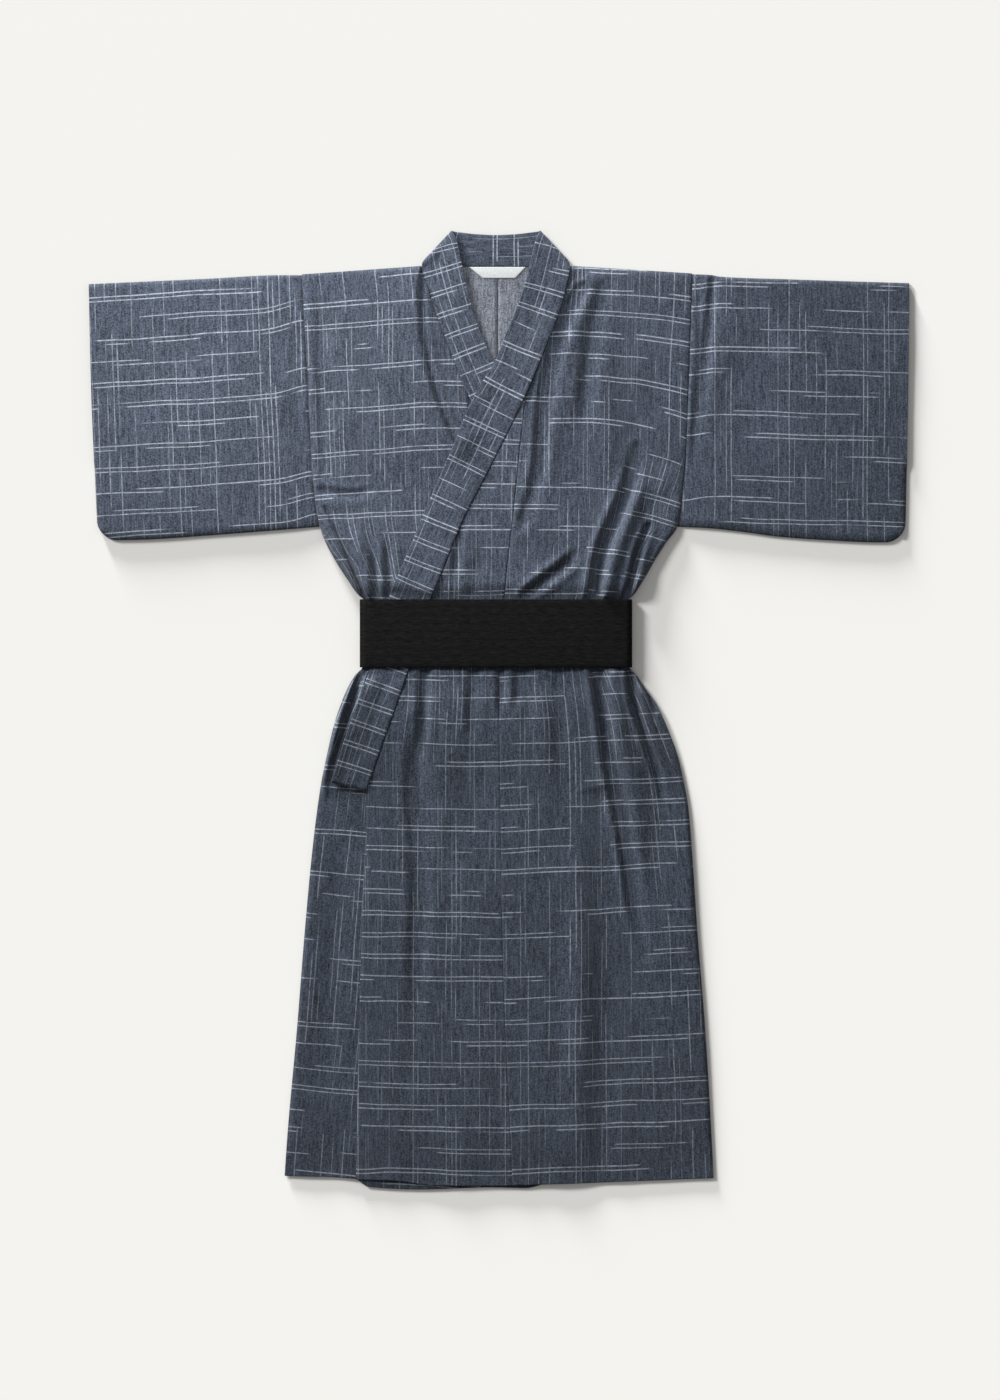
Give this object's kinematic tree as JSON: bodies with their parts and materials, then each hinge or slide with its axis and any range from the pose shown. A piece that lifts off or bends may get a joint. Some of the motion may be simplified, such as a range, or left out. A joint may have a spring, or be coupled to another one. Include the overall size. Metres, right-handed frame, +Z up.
{
  "type": "yukata",
  "caption": "Man's cotton yukata laid flat, closed left over right, with square sleeves, a long band collar and a stiff obi round the waist.",
  "frame": {"origin": "middle of the garment's outline on the surface it lies on", "axes": "+Y towards the collar, +X towards the wearer's left sleeve, +Z up, away from the surface"},
  "size_m": [1.2295, 1.4373, 0.0203],
  "materials": {
    "cloth": "matte plain-woven slub cotton, dark slate navy with a broken pale lattice of fine weft and warp lines",
    "obi": "stiff black ribbed weave",
    "label": "smooth white woven tape, bare"
  },
  "bodies": {
    "root": {"back_right": "cloth", "back_left": "cloth", "front_right": "cloth", "front_left": "cloth", "okumi_right": "cloth", "okumi_left": "cloth", "sleeve_right": "cloth", "sleeve_left": "cloth", "collar": "cloth", "neck_label": "label", "obi": "obi"}
  },
  "joints": []
}
